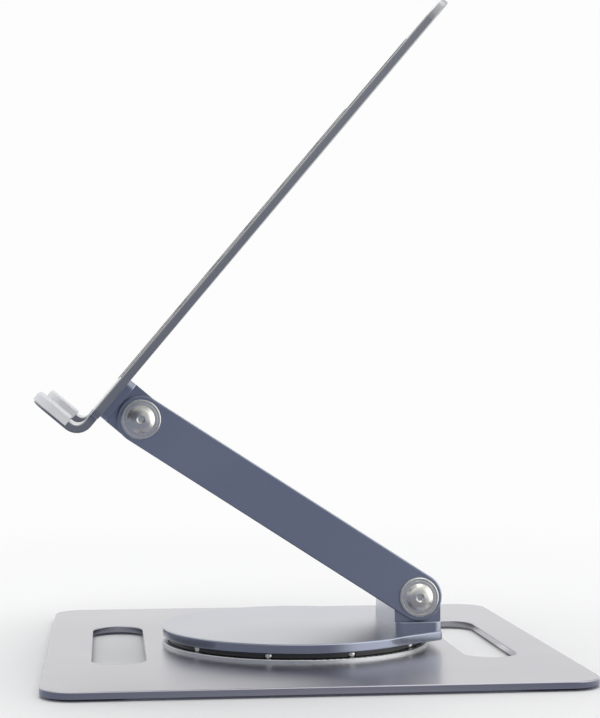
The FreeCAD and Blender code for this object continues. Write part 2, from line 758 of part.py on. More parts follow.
def make_hinge_hardware():
    """Cap screw, side washer, spring washers and lock nut on each side of both hinges."""
    across = Vector(1, 0, 0)
    for end, x, z in (("lower", "hinge_x", "hinge_z"), ("upper", "upper_x", "upper_z")):
        for side, turn in (("right", "90"), ("left", "-90")):
            ending = "_%s_%s" % (end, side)
            keep(put(make_hinge_screw("hinge_screw" + ending), x, z=z, axis=across, turn=turn))
            washer = ring_body("side_washer" + ending, "hinge_bore", "side_washer_radius",
                               "side_washer_thickness")
            toward = "-" if side == "right" else ""
            keep(put(washer, x, "%s(flange_inner - side_washer_thickness)" % toward, z, across, turn))
            springs = [put(washer, x, z=z, axis=across, turn=turn)
                       for washer in make_spring_washers("spring_washer" + ending)]
            group("spring_washers" + ending, springs)
            keep(put(make_lock_nut("lock_nut" + ending), x, z=z, axis=across, turn=turn))


def is_vent_edge(edge):
    """Tell whether an edge of the tray runs round the mouth of a vent slot."""
    level = at_height("tray_top")(edge) or at_height("hinge_height")(edge)
    behind_first = edge.BoundBox.XMin > value("vent_start - vent_width / 2") - TINY
    within_length = max(-edge.BoundBox.YMin, edge.BoundBox.YMax) < value("vent_length / 2") + TINY
    return level and behind_first and within_length


def make_tray():
    """Vented tray with two lips folded up from its front edge; the hinge axis is the body's Y axis."""
    body = new_body("tray_panel")
    fold = new_sketch(body, "lip_fold", "XZ_Plane")
    tip = "tray_top + lip_height"
    inside = "tray_thickness - lip_face"
    polygon(fold, [("0", "hinge_height"), ("-lip_face", "hinge_height"), ("-lip_face", tip), (inside, tip),
                   (inside, "tray_top"), ("0", "tray_top")])
    pad(body, fold, "2 * lip_outer", both_ways=True)
    around_bend = "lip_bend_radius + tray_thickness"
    for name, radius, x, z in (("outer_bend", around_bend, "-lip_face", "hinge_height"),
                               ("inner_bend", "lip_bend_radius", inside, "tray_top")):
        corner = Vector(value(x), 0, value(z))
        dress(body, "Fillet", name, radius, lambda edge: edge.CenterOfMass.isEqual(corner, TINY))
    between = new_sketch(body, "lip_gap", "XY_Plane")
    rectangle(between, "-2 * lip_face", "-tray_front", "-lip_inner", "lip_inner")
    pocket(body, between)
    high = value(tip)
    dress(body, "Fillet", "lip_corners", "lip_corner_radius",
          lambda edge: abs(edge.BoundBox.ZMin - high) < TINY and edge.BoundBox.YLength < TINY)
    panel = new_sketch(body, "panel_outline", "XY_Plane", "hinge_height")
    rectangle(panel, "-tray_front", "tray_length - tray_front", "-tray_width / 2", "tray_width / 2")
    pad(body, panel, "tray_thickness")
    rear = value("tray_length - tray_front")
    broad = value("tray_width / 2")
    dress(body, "Fillet", "rear_corners", "tray_rear_corner",
          lambda edge: upright(edge) and abs(edge.BoundBox.XMin - rear) < TINY)
    dress(body, "Fillet", "front_corners", "tray_front_corner",
          lambda edge: (upright(edge) and edge.BoundBox.XMin < 0
                        and abs(abs(edge.BoundBox.YMin) - broad) < TINY))
    front = value("-tray_front")
    dress(body, "Fillet", "lip_roots", "lip_root_radius",
          lambda edge: upright(edge) and abs(edge.BoundBox.XMin - front) < TINY and edge.BoundBox.ZMax < high)
    dress(body, "Fillet", "tray_edges", "tray_edge_round",
          lambda edge: abs(edge.BoundBox.XMin - rear) < TINY and edge.BoundBox.YLength > broad)
    vent = new_sketch(body, "vent", "XY_Plane")
    reach = "(vent_length - vent_width) / 2"
    obround(vent, ("vent_start", "-" + reach), ("vent_start", reach), "vent_width")
    first = pocket(body, vent)
    row = body.newObject("PartDesign::LinearPattern", "vents")
    row.Originals = [first]
    row.Direction = (origin_part(body, "X_Axis"), [""])
    bind(row, "Occurrences", "vent_count")
    bind(row, "Length", "vent_pitch * (vent_count - 1)")
    body.Tip = row
    dress(body, "Fillet", "vent_edges", "vent_edge_round", is_vent_edge)
    grooves = new_sketch(body, "strip_grooves", "XY_Plane", "tray_top")
    for across in ("-strip_offset", "strip_offset"):
        obround(grooves, ("strip_middle - strip_reach", across), ("strip_middle + strip_reach", across),
                "(strip_width + 2 * fixed_clearance)")
    pocket(body, grooves, "strip_recess")
    cut_seat_threads(body, "0", "hinge_height", forward=True)
    keep(put(body, "upper_x", z="upper_z", turn="-tray_angle"))


def tray_place(along, height):
    """Give the position, as formulas, of a point on the tray from its place along and above the hinge."""
    return ("upper_x + (%s) * cos(tray_angle) - (%s) * sin(tray_angle)" % (along, height),
            "upper_z + (%s) * sin(tray_angle) + (%s) * cos(tray_angle)" % (along, height))


def make_tray_strip(side, toward):
    """Long silicone strip in a shallow groove of the tray."""
    body = new_body("tray_strip_" + side)
    outline = new_sketch(body, "strip_outline_" + side, "XY_Plane")
    obround(outline, ("-strip_reach", "0"), ("strip_reach", "0"), "strip_width")
    pad(body, outline, "strip_thickness")
    x, z = tray_place("strip_middle", "tray_top - strip_recess")
    keep(put(body, x, toward + "strip_offset", z, turn="-tray_angle"))


def round_lip_top(body, name, across, top, radius):
    """Round the two upper corners of a lip-shaped outline."""
    side = value(across)
    high = value(top)
    dress(body, "Fillet", name, radius,
          lambda edge: (edge.BoundBox.YLength < TINY and abs(abs(edge.BoundBox.YMin) - side) < TINY
                        and edge.BoundBox.ZLength < TINY and abs(edge.BoundBox.ZMin - high) < TINY))


def make_lip_pad(side, toward):
    """Silicone sleeve: a pad on the lip's inner face, with a rim that grips the lip's edges."""
    body = new_body("lip_pad_" + side)
    outline = new_sketch(body, "lip_pad_outline_" + side, "YZ_Plane", "-lip_pad_grip")
    across = "(lip_width / 2 + lip_pad_wall)"
    top = "lip_pad_height + lip_pad_wall"
    rectangle(outline, "-" + across, across, "0", top)
    pad(body, outline, "lip_pad_grip + lip_pad_thickness")
    slot = new_sketch(body, "lip_slot_" + side, "YZ_Plane", "-lip_pad_grip")
    inside = "(lip_width / 2 + fixed_clearance)"
    tip = "lip_pad_height + fixed_clearance"
    rectangle(slot, "-" + inside, inside, "-lip_pad_gap", tip)
    pocket(body, slot, "lip_pad_grip", forward=True)
    round_lip_top(body, "lip_slot_corners_" + side, inside, tip, "lip_corner_radius + fixed_clearance")
    round_lip_top(body, "lip_pad_corners_" + side, across, top, "lip_corner_radius + lip_pad_wall")
    face = value("lip_pad_thickness")
    dress(body, "Fillet", "lip_pad_edges_" + side, "lip_pad_edge_round",
          lambda edge: edge.BoundBox.XLength < TINY and abs(edge.BoundBox.XMin - face) < TINY)
    x, z = tray_place("tray_thickness - lip_face", "lip_pad_foot")
    keep(put(body, x, toward + "lip_offset", z, turn="-tray_angle"))


def write_parts():
    """Check every object of the document, then write each sub-part to its own file."""
    doc.recompute()
    failed = [item.Label for item in doc.Objects if "Invalid" in item.State or "Error" in item.State]
    failed += [item.Label for item in sub_parts if item.Shape.isNull() or not item.Shape.isValid()]
    if failed:
        raise ValueError("failed objects: " + ", ".join(failed))
    os.makedirs("parts", exist_ok=True)
    for item in sub_parts:
        item.Shape.exportStep("parts/%s.step" % item.Label)
        print("%-28s %2d solids %10.1f mm3" % (item.Label, len(item.Shape.Solids), item.Shape.Volume))


LOWER_END = ("lower", "hinge_x", "hinge_z", "0")
UPPER_END = ("upper", "upper_x", "upper_z", "(180 - tray_angle)")

make_base_plate()
make_feet()
make_bearing()
make_turntable()
make_pivot()
make_hinge_seat(*LOWER_END)
make_seat_screws(*LOWER_END)
make_arm()
make_hinge_hardware()
make_hinge_seat(*UPPER_END)
make_seat_screws(*UPPER_END)
make_tray()
for side, toward in (("right", "-"), ("left", "")):
    make_tray_strip(side, toward)
    make_lip_pad(side, toward)
write_parts()
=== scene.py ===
# %% [markdown]
# ## A folding laptop stand
# The stand is sheet aluminium: a base plate, a turning disc on a ball bearing, a folded arm with a friction
# hinge at each end, and a tray with two lips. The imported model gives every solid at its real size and
# place, in metres, with +Z up and the front of the stand towards -X. This lesson leaves those solids where
# they are and gives them their looks: a camera and a studio first, then one finish after another, then the
# small turned and repeated pieces. Loading comes first because every later piece takes its place from the
# frame.

# %% Load the frame
import json
import math

import bmesh
import bpy
from mathutils import Matrix, Vector


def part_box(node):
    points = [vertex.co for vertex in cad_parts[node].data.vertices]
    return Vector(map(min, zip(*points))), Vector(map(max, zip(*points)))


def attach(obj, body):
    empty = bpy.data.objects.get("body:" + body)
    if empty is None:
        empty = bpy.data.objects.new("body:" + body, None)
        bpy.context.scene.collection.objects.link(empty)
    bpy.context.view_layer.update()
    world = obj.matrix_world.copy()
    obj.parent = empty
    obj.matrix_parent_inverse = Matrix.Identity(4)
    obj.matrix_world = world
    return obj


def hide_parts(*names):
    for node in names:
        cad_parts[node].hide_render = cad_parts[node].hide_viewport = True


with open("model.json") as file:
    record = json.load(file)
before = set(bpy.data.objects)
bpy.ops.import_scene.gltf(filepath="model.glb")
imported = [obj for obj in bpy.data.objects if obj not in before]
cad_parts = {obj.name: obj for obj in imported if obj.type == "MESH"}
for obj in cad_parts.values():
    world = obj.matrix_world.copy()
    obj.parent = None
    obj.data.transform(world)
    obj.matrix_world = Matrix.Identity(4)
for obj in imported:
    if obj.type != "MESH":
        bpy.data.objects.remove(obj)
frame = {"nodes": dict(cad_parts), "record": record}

scene = bpy.context.scene
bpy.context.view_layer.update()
MM = 0.001

# %% [markdown]
# ## The camera
# The photograph looks at the stand from its right side, a little above the turntable, through a long lens.
# A camera could be placed by eye, but the base's rectangle and the round disc fix it: the values below are
# the place and the direction for which both project onto the photograph. The lens is given in pixels of the
# picture's height, so it is turned into the millimetres that Blender's 36 mm sensor needs.

# %% Place the camera
CAMERA_PLACE = Vector((-91.6, -799.9, 130.55)) * MM
CAMERA_YAW = 6.69
CAMERA_PITCH = 0.853
PICTURE_HEIGHT = 718
FOCAL_PIXELS = 1636.2
SENSOR_SIZE = 36
NEAREST_SEEN = 10 * MM

lens = bpy.data.cameras.new("camera")
lens.sensor_width = SENSOR_SIZE
lens.lens = FOCAL_PIXELS / PICTURE_HEIGHT * SENSOR_SIZE
lens.clip_start = NEAREST_SEEN
camera = bpy.data.objects.new("camera", lens)
camera.location = CAMERA_PLACE
camera.rotation_euler = (math.radians(90 + CAMERA_PITCH), 0, math.radians(-CAMERA_YAW))
scene.collection.objects.link(camera)
scene.camera = camera
scene.view_settings.view_transform = "Standard"
print("lens: %.1f mm" % lens.lens)

# %% [markdown]
# ## Node helper
# Every finish, and every repeated piece, is a small tree of nodes. Adding a node takes the same three steps
# each time: make it, set its options, then feed its inputs with numbers or with the outputs of other nodes.
# One helper does that for shader trees and for geometry trees alike. A colour Mix node keeps its colour
# sockets after those for numbers and vectors, so their places in the list are named here.

# %% Add a node to a tree
MIX_FIRST, MIX_SECOND, MIX_COLOUR = 6, 7, 2


def add(tree, kind, inputs=None, **options):
    """Add a node, set its options, and feed its inputs with values or with other nodes' outputs."""
    node = tree.nodes.new(kind)
    for name, option in options.items():
        setattr(node, name, option)
    for name, source in (inputs or {}).items():
        if isinstance(source, bpy.types.NodeSocket):
            tree.links.new(source, node.inputs[name])
        else:
            node.inputs[name].default_value = source
    return node


# %% [markdown]
# ## Studio light
# The photograph has the light of a white tent that is open towards the camera and the left, with a softbox
# at the front right: its back, its right side and its ceiling are bright, and the room outside is dim. On
# satin metal that is what makes the form: faces that look up, back or right mirror the white, faces that
# look at the camera mirror the dim room, and the round rims catch the softbox. So the world is white to the
# camera, and to reflections it fades along one level direction from white to a dim blue-grey, with one
# bright patch. Diffuse light gets an even fill, and one large soft lamp overhead gives the floor its
# shadow.

# %% Build the world
BACKDROP = (0.98, 0.98, 0.98, 1)
DIM_ROOM = (0.29, 0.32, 0.42, 1)
FILL_LIGHT = (0.95, 0.97, 1.0, 1)
FILL_STRENGTH = 0.7
TENT_DIRECTION = (0.75, 0.66, 0)
TENT_RAMP = (-0.5, 0.0)
CEILING_RAMP = (-0.05, 0.65)
SOFTBOX_DIRECTION = (0.92, -0.36, 0.15)
SOFTBOX_RAMP = (0.75, 0.95)
SOFTBOX_GLOW = 1.0


def soft_step(tree, amount, ramp, top=1.0):
    """A soft step of an amount, from 0 at the start of a ramp to the top at its end."""
    return add(tree, "ShaderNodeMapRange",
               {"Value": amount, "From Min": ramp[0], "From Max": ramp[1], "To Max": top},
               interpolation_type="SMOOTHSTEP").outputs["Result"]


def tent_light(tree, heading):
    """The colour that a reflection meets in a direction: the white tent, or the dim room."""
    along = add(tree, "ShaderNodeVectorMath", {0: heading, 1: TENT_DIRECTION}, operation="DOT_PRODUCT")
    height = add(tree, "ShaderNodeSeparateXYZ", {"Vector": heading})
    white = add(tree, "ShaderNodeMath", {0: soft_step(tree, along.outputs["Value"], TENT_RAMP),
                                         1: soft_step(tree, height.outputs["Z"], CEILING_RAMP)},
                operation="MAXIMUM")
    tent = add(tree, "ShaderNodeMix", {"Factor": white.outputs["Value"], MIX_FIRST: DIM_ROOM,
                                       MIX_SECOND: BACKDROP}, data_type="RGBA")
    facing = add(tree, "ShaderNodeVectorMath", {0: heading, 1: SOFTBOX_DIRECTION}, operation="DOT_PRODUCT")
    softbox = soft_step(tree, facing.outputs["Value"], SOFTBOX_RAMP, SOFTBOX_GLOW)
    total = add(tree, "ShaderNodeMix", {"Factor": 1.0, MIX_FIRST: tent.outputs[MIX_COLOUR],
                                        MIX_SECOND: softbox}, data_type="RGBA", blend_type="ADD")
    return total.outputs[MIX_COLOUR]


world = bpy.data.worlds.new("studio")
world.use_nodes = True
scene.world = world
studio = world.node_tree
studio.nodes.clear()
path = add(studio, "ShaderNodeLightPath")
heading = add(studio, "ShaderNodeTexCoord").outputs["Generated"]
mirrored = add(studio, "ShaderNodeBackground", {"Color": tent_light(studio, heading)})
fill = add(studio, "ShaderNodeBackground", {"Color": FILL_LIGHT, "Strength": FILL_STRENGTH})
backdrop = add(studio, "ShaderNodeBackground", {"Color": BACKDROP})
lit = add(studio, "ShaderNodeMixShader", {0: path.outputs["Is Glossy Ray"], 1: fill.outputs[0],
                                          2: mirrored.outputs[0]})
direct = add(studio, "ShaderNodeMath", {0: path.outputs["Is Camera Ray"],
                                        1: path.outputs["Is Transmission Ray"]}, operation="MAXIMUM")
seen = add(studio, "ShaderNodeMixShader", {0: direct.outputs["Value"], 1: lit.outputs[0],
                                           2: backdrop.outputs[0]})
add(studio, "ShaderNodeOutputWorld", {"Surface": seen.outputs[0]})
print("world nodes:", len(studio.nodes))

# %% [markdown]
# ## Ceiling lamp
# A product tent is lit through its ceiling. One square area lamp as wide as the tent stands in for that:
# the larger a lamp is, the softer the shadow. It hangs a little behind the stand's middle, so that the disc
# and the base keep a soft shadow on the side that looks at the camera.

# %% Hang the lamp
LAMP_PLACE = Vector((0.1, 0.12, 1.5))
LAMP_TARGET = Vector((0, 0, 0.05))
LAMP_SIZE = 1.6
LAMP_POWER = 13.5

lamp_light = bpy.data.lights.new("ceiling_lamp", "AREA")
lamp_light.shape = "SQUARE"
lamp_light.size = LAMP_SIZE
lamp_light.energy = LAMP_POWER
lamp = bpy.data.objects.new("ceiling_lamp", lamp_light)
lamp.location = LAMP_PLACE
lamp.rotation_euler = (LAMP_TARGET - LAMP_PLACE).to_track_quat("-Z", "Y").to_euler()
scene.collection.objects.link(lamp)
print("lamp: %.1f m wide, %.1f W" % (LAMP_SIZE, LAMP_POWER))

# %% [markdown]
# ## Floor
# The stand is on a white sweep that runs up into the backdrop with no edge. A curved sweep would hide the
# floor's edge from one side only, so this floor is a round sheet whose finish turns from lit white paper,
# which takes shadows, into the plain white of the backdrop towards its rim. It then has no edge from any
# side. Reflections meet the tent's own light there, and from a quarter as far out, so that the dim room is
# dim down to the floor. The directions of that light start right of the stand's middle, which keeps the
# floor before the base dim.

# %% Lay the floor
FLOOR_RADIUS = 1.5
FLOOR_SEGMENTS = 96
PAPER = (0.86, 0.852, 0.842, 1)
PAPER_ROUGHNESS = 0.55
FADE_RAMP = (0.2, 0.8)
MIRRORED_HASTE = 3.0
SWEEP_MIDDLE = (0.085, 0, 0)


def floor_finish():
    """White paper that fades into the backdrop's white away from the stand."""
    finish = bpy.data.materials.new("floor_paper")
    finish.use_nodes = True
    tree = finish.node_tree
    tree.nodes.clear()
    place = add(tree, "ShaderNodeTexCoord")
    far = add(tree, "ShaderNodeVectorMath", {0: place.outputs["Object"]}, operation="LENGTH")
    path = add(tree, "ShaderNodeLightPath")
    haste = add(tree, "ShaderNodeMath", {0: path.outputs["Is Glossy Ray"], 1: MIRRORED_HASTE, 2: 1.0},
                operation="MULTIPLY_ADD")
    reach = add(tree, "ShaderNodeMath", {0: far.outputs["Value"], 1: haste.outputs["Value"]},
                operation="MULTIPLY")
    paper = add(tree, "ShaderNodeBsdfPrincipled", {"Base Color": PAPER, "Roughness": PAPER_ROUGHNESS})
    away = add(tree, "ShaderNodeVectorMath", {0: place.outputs["Object"], 1: SWEEP_MIDDLE},
               operation="SUBTRACT")
    outward = add(tree, "ShaderNodeVectorMath", {0: away.outputs["Vector"]}, operation="NORMALIZE")
    mirrored = tent_light(tree, outward.outputs["Vector"])
    sweep = add(tree, "ShaderNodeMix", {"Factor": path.outputs["Is Glossy Ray"], MIX_FIRST: BACKDROP,
                                        MIX_SECOND: mirrored}, data_type="RGBA")
    glow = add(tree, "ShaderNodeEmission", {"Color": sweep.outputs[MIX_COLOUR]})
    both = add(tree, "ShaderNodeMixShader", {0: soft_step(tree, reach.outputs["Value"], FADE_RAMP),
                                             1: paper.outputs[0], 2: glow.outputs[0]})
    add(tree, "ShaderNodeOutputMaterial", {"Surface": both.outputs[0]})
    return finish


sheet = bmesh.new()
bmesh.ops.create_circle(sheet, cap_ends=True, segments=FLOOR_SEGMENTS, radius=FLOOR_RADIUS)
floor_mesh = bpy.data.meshes.new("floor")
sheet.to_mesh(floor_mesh)
sheet.free()
floor_mesh.materials.append(floor_finish())
floor = bpy.data.objects.new("floor", floor_mesh)
scene.collection.objects.link(floor)
print("floor radius: %.1f m" % FLOOR_RADIUS)

# %% [markdown]
# ## Anodised aluminium
# The sheet is blasted with fine beads and then anodised in a slate tint, which leaves a satin skin over
# bare metal. A plain grey metal would look like steel. Here the metal is tinted, a thin clear coat stands
# for the oxide, very fine noise stands for the blasted grain, and a slow cloud of noise shifts tint and
# gloss by a few percent, as rolled sheet shows it. Object coordinates keep the grain at its real size on
# every piece. The rims of the base and of the disc are milled after the sheet is blasted, so there the same
# finish is smoother.

# %% Make the aluminium finish
SLATE = (0.25, 0.275, 0.35, 1)
SLATE_PALE = (0.275, 0.30, 0.375, 1)
SATIN = (0.30, 0.37)
BLASTED_GRAIN = dict(scale=2600, strength=0.1, depth=0.03 * MM)
GRAIN_DETAIL = 3.0
SHEET_CLOUD = 14
CLOUD_DETAIL = 2.0
CLOUD_RANGE = (0.3, 0.7)
OXIDE_ROUGHNESS = 0.25
OXIDE_IOR = 1.6
RIM_GLOSS = 0.4
RIM_SIDEWAYS = (0.2, 0.6)


def finish_tree(name):
    """Start a material, and hand it back with its empty tree and its Object coordinates."""
    finish = bpy.data.materials.new(name)
    finish.use_nodes = True
    tree = finish.node_tree
    tree.nodes.clear()
    place = add(tree, "ShaderNodeTexCoord").outputs["Object"]
    return finish, tree, place


def grain_bump(tree, place, scale, strength, depth):
    """Fine noise raised as a bump of a real depth."""
    grain = add(tree, "ShaderNodeTexNoise", {"Vector": place, "Scale": scale, "Detail": GRAIN_DETAIL})
    return add(tree, "ShaderNodeBump", {"Height": grain.outputs["Fac"], "Strength": strength,
                                        "Distance": depth})


def varied(tree, place, scale, first, second, low, high):
    """A slow cloud that mixes two tints and spreads a roughness between two values."""
    cloud = add(tree, "ShaderNodeTexNoise", {"Vector": place, "Scale": scale, "Detail": CLOUD_DETAIL})
    tint = add(tree, "ShaderNodeMix", {"Factor": cloud.outputs["Fac"], MIX_FIRST: first, MIX_SECOND: second},
               data_type="RGBA")
    gloss = add(tree, "ShaderNodeMapRange", {"Value": cloud.outputs["Fac"], "From Min": CLOUD_RANGE[0],
                                             "From Max": CLOUD_RANGE[1], "To Min": low, "To Max": high})
    return tint.outputs[MIX_COLOUR], gloss.outputs["Result"]


def anodised_aluminium(name, first, second, milled_rim):
    """Satin tinted metal; on level sheet the rim, which looks sideways, can be smoother than the faces."""
    finish, tree, place = finish_tree(name)
    tint, gloss = varied(tree, place, SHEET_CLOUD, first, second, *SATIN)
    bump = grain_bump(tree, place, **BLASTED_GRAIN)
    if milled_rim:
        normal = add(tree, "ShaderNodeTexCoord").outputs["Normal"]
        direction = add(tree, "ShaderNodeSeparateXYZ", {"Vector": normal})
        level = add(tree, "ShaderNodeMath", {0: direction.outputs["Z"]}, operation="ABSOLUTE")
        smoother = add(tree, "ShaderNodeMapRange", {"Value": level.outputs["Value"],
                                                    "From Min": RIM_SIDEWAYS[0],
                                                    "From Max": RIM_SIDEWAYS[1], "To Min": RIM_GLOSS})
        gloss = add(tree, "ShaderNodeMath", {0: gloss, 1: smoother.outputs["Result"]},
                    operation="MULTIPLY").outputs["Value"]
    skin = add(tree, "ShaderNodeBsdfPrincipled",
               {"Base Color": tint, "Metallic": 1.0, "Roughness": gloss, "Normal": bump.outputs["Normal"],
                "Coat Weight": 1.0, "Coat Roughness": OXIDE_ROUGHNESS, "Coat IOR": OXIDE_IOR})
    add(tree, "ShaderNodeOutputMaterial", {"Surface": skin.outputs[0]})
    return finish


finishes = {"anodised_aluminium": anodised_aluminium("anodised_aluminium", SLATE, SLATE_PALE, False)}
print("aluminium nodes:", len(finishes["anodised_aluminium"].node_tree.nodes))

# %% [markdown]
# ## Polished steel
# The caps are turned from steel and plated: bright, a little softened, and with the fine rings that the
# tool leaves. Rings drawn from Object coordinates would all sit round the origin. These follow an attribute
# that the turned pieces carry, the distance from their own axis, so that they sit round each cap.

# %% Make the finish of the caps
CAP_STEEL = (0.61, 0.60, 0.565, 1)
CAP_STEEL_PALE = (0.67, 0.66, 0.62, 1)
CAP_CLOUD = 220
CAP_GLOSS = (0.24, 0.30)
CAP_GRAIN = dict(scale=900, strength=0.02, depth=0.005 * MM)
TOOL_FEED = 0.35 * MM
TOOL_MARK = 0.004 * MM
TOOL_MARK_STRENGTH = 0.2


def polished_caps():
    """Bright steel with fine rings from the lathe."""
    finish, tree, place = finish_tree("polished_caps")
    tint, gloss = varied(tree, place, CAP_CLOUD, CAP_STEEL, CAP_STEEL_PALE, *CAP_GLOSS)
    bump = grain_bump(tree, place, **CAP_GRAIN)
    radius = add(tree, "ShaderNodeAttribute", attribute_name="turn_radius")
    angle = add(tree, "ShaderNodeMath", {0: radius.outputs["Fac"], 1: math.tau / TOOL_FEED},
                operation="MULTIPLY")
    rings = add(tree, "ShaderNodeMath", {0: angle.outputs["Value"]}, operation="SINE")
    turned = add(tree, "ShaderNodeBump", {"Height": rings.outputs["Value"], "Strength": TOOL_MARK_STRENGTH,
                                          "Distance": TOOL_MARK, "Normal": bump.outputs["Normal"]})
    skin = add(tree, "ShaderNodeBsdfPrincipled", {"Base Color": tint, "Metallic": 1.0, "Roughness": gloss,
                                                  "Normal": turned.outputs["Normal"]})
    add(tree, "ShaderNodeOutputMaterial", {"Surface": skin.outputs[0]})
    return finish


finishes["polished_caps"] = polished_caps()
print("cap nodes:", len(finishes["polished_caps"].node_tree.nodes))

# %% [markdown]
# ## Zinc plate
# Screws, nuts, spring washers and the bearing's race are plain steel under a thin coat of zinc, which is
# greyer than the caps and cloudy. A flat grey would do for what is mostly hidden, but the two helpers of
# the aluminium are there already: small clouds between two greys, and a stronger grain.

# %% Make the finish of the screws
ZINC = (0.55, 0.56, 0.57, 1)
ZINC_PALE = (0.66, 0.66, 0.65, 1)
ZINC_CLOUD = 160
ZINC_GLOSS = (0.26, 0.40)
ZINC_GRAIN = dict(scale=1500, strength=0.15, depth=0.03 * MM)


def zinc_plated_steel():
    """Cloudy grey plating with a fine grain."""
    finish, tree, place = finish_tree("zinc_plated_steel")
    tint, gloss = varied(tree, place, ZINC_CLOUD, ZINC, ZINC_PALE, *ZINC_GLOSS)
    bump = grain_bump(tree, place, **ZINC_GRAIN)
    skin = add(tree, "ShaderNodeBsdfPrincipled", {"Base Color": tint, "Metallic": 1.0, "Roughness": gloss,
                                                  "Normal": bump.outputs["Normal"]})
    add(tree, "ShaderNodeOutputMaterial", {"Surface": skin.outputs[0]})
    return finish


finishes["zinc_plated_steel"] = zinc_plated_steel()
print("zinc nodes:", len(finishes["zinc_plated_steel"].node_tree.nodes))

# %% [markdown]
# ## Nylon, silicone and rubber
# The cage, the bush and the side washers are black nylon, the sleeves and the strips are silicone, and the
# feet are rubber. Each could have a function of its own, but moulded pieces differ only in tint, gloss and
# grain, so one helper makes them all from a table of what differs.

# %% Make the moulded finishes
MOULD_CLOUD = 60
MOULD_GRAIN_STRENGTH = 0.35
MOULDED = {
    "black_nylon": dict(first=(0.02, 0.02, 0.022, 1), second=(0.03, 0.03, 0.032, 1), low=0.3, high=0.4,
                        grain=1400, depth=0.02 * MM),
    "grey_silicone": dict(first=(0.68, 0.68, 0.70, 1), second=(0.74, 0.74, 0.76, 1), low=0.5, high=0.62,
                          grain=1800, depth=0.01 * MM),
    "grey_silicone_strips": dict(first=(0.10, 0.10, 0.105, 1), second=(0.13, 0.13, 0.135, 1), low=0.5,
                                 high=0.62, grain=1800, depth=0.01 * MM),
    "black_rubber": dict(first=(0.012, 0.012, 0.013, 1), second=(0.02, 0.02, 0.021, 1), low=0.6, high=0.75,
                         grain=1200, depth=0.06 * MM),
}


def moulded(name, first, second, low, high, grain, depth):
    """A rubber, silicone or nylon: a pair of close tints, a matte skin and a moulded grain."""
    finish, tree, place = finish_tree(name)
    tint, gloss = varied(tree, place, MOULD_CLOUD, first, second, low, high)
    bump = grain_bump(tree, place, grain, MOULD_GRAIN_STRENGTH, depth)
    skin = add(tree, "ShaderNodeBsdfPrincipled", {"Base Color": tint, "Roughness": gloss,
                                                  "Normal": bump.outputs["Normal"]})
    add(tree, "ShaderNodeOutputMaterial", {"Surface": skin.outputs[0]})
    return finish


for name, settings in MOULDED.items():
    finishes[name] = moulded(name, **settings)
print("finishes:", sorted(finishes))

# %% [markdown]
# ## Finishes on the solids
# The record names a finish for every solid, so the finishes can be given out in one loop, with no list of
# names to keep in step. Solids that a finer piece replaces later get theirs too, and are hidden when that
# piece is made. A few solids then get a variant of their finish: the base and the disc have milled rims,
# the base and the tray are greyer than the arm, and the strips on the tray are a darker grey than the lips,
# because the photograph shows no pale line along the tray.

# %% Give every solid its finish
BASE_GREY = (0.28, 0.275, 0.315, 1)
BASE_GREY_PALE = (0.305, 0.30, 0.34, 1)
TRAY_GREY = (0.25, 0.257, 0.268, 1)
TRAY_GREY_PALE = (0.275, 0.282, 0.293, 1)

for subpart in frame["record"]["subparts"]:
    solid = frame["nodes"][subpart["node"]]
    solid.data.materials.clear()
    solid.data.materials.append(finishes[subpart["material_slot"]])
variants = {
    "base_plate": anodised_aluminium("anodised_aluminium_base", BASE_GREY, BASE_GREY_PALE, True),
    "turntable_disc": anodised_aluminium("anodised_aluminium_disc", SLATE, SLATE_PALE, True),
    "tray_panel": anodised_aluminium("anodised_aluminium_tray", TRAY_GREY, TRAY_GREY_PALE, False),
    "tray_strip_right": finishes["grey_silicone_strips"],
    "tray_strip_left": finishes["grey_silicone_strips"],
}
for name, finish in variants.items():
    frame["nodes"][name].data.materials[0] = finish

# %% [markdown]
# ## Pieces that repeat
# Screws, caps and balls are the same form at several places. Copies of one mesh would do, but their sizes
# would then be fixed in its points. So each form is made once, in a tree of Geometry Nodes with a named
# input for each size, and what follows from those sizes is worked out by nodes inside the tree.

# %% Start a tree with sizes
def sized_tree(name, sizes):
    """Start a geometry tree that takes host points and named sizes."""
    tree = bpy.data.node_groups.new(name, "GeometryNodeTree")
    tree.interface.new_socket("Geometry", in_out="INPUT", socket_type="NodeSocketGeometry")
    for label in sizes:
        tree.interface.new_socket(label, in_out="INPUT", socket_type="NodeSocketFloat")
    tree.interface.new_socket("Geometry", in_out="OUTPUT", socket_type="NodeSocketGeometry")
    return tree, add(tree, "NodeGroupInput").outputs


def calc(tree, operation, first, second):
    """One step of arithmetic on two sizes."""
    return add(tree, "ShaderNodeMath", {0: first, 1: second}, operation=operation).outputs["Value"]


# %% [markdown]
# ## A lathe in nodes
# Caps and screws are turned on a lathe. In nodes that is a profile swept round a circle so small that it is
# a point: Curve to Mesh keeps the profile's distance from the axis as the radius. A Spin in the mesh would
# do as well, but it takes no named sizes. The profile has only its corners, and Fillet Curve rounds each by
# its own radius, as a tool would.

# %% Turn a profile
POINT_CIRCLE = 1e-6
WELD = 1e-5
ROUND_STEPS = 5


def by_index(tree, kind, choices):
    """Hand each point of a curve its own value, in order."""
    index = add(tree, "GeometryNodeInputIndex")
    switch = add(tree, "GeometryNodeIndexSwitch", {"Index": index.outputs["Index"]}, data_type=kind)
    while len(switch.index_switch_items) < len(choices):
        switch.index_switch_items.new()
    for place, choice in enumerate(choices, 1):
        if isinstance(choice, bpy.types.NodeSocket):
            tree.links.new(choice, switch.inputs[place])
        else:
            switch.inputs[place].default_value = choice
    return switch.outputs["Output"]


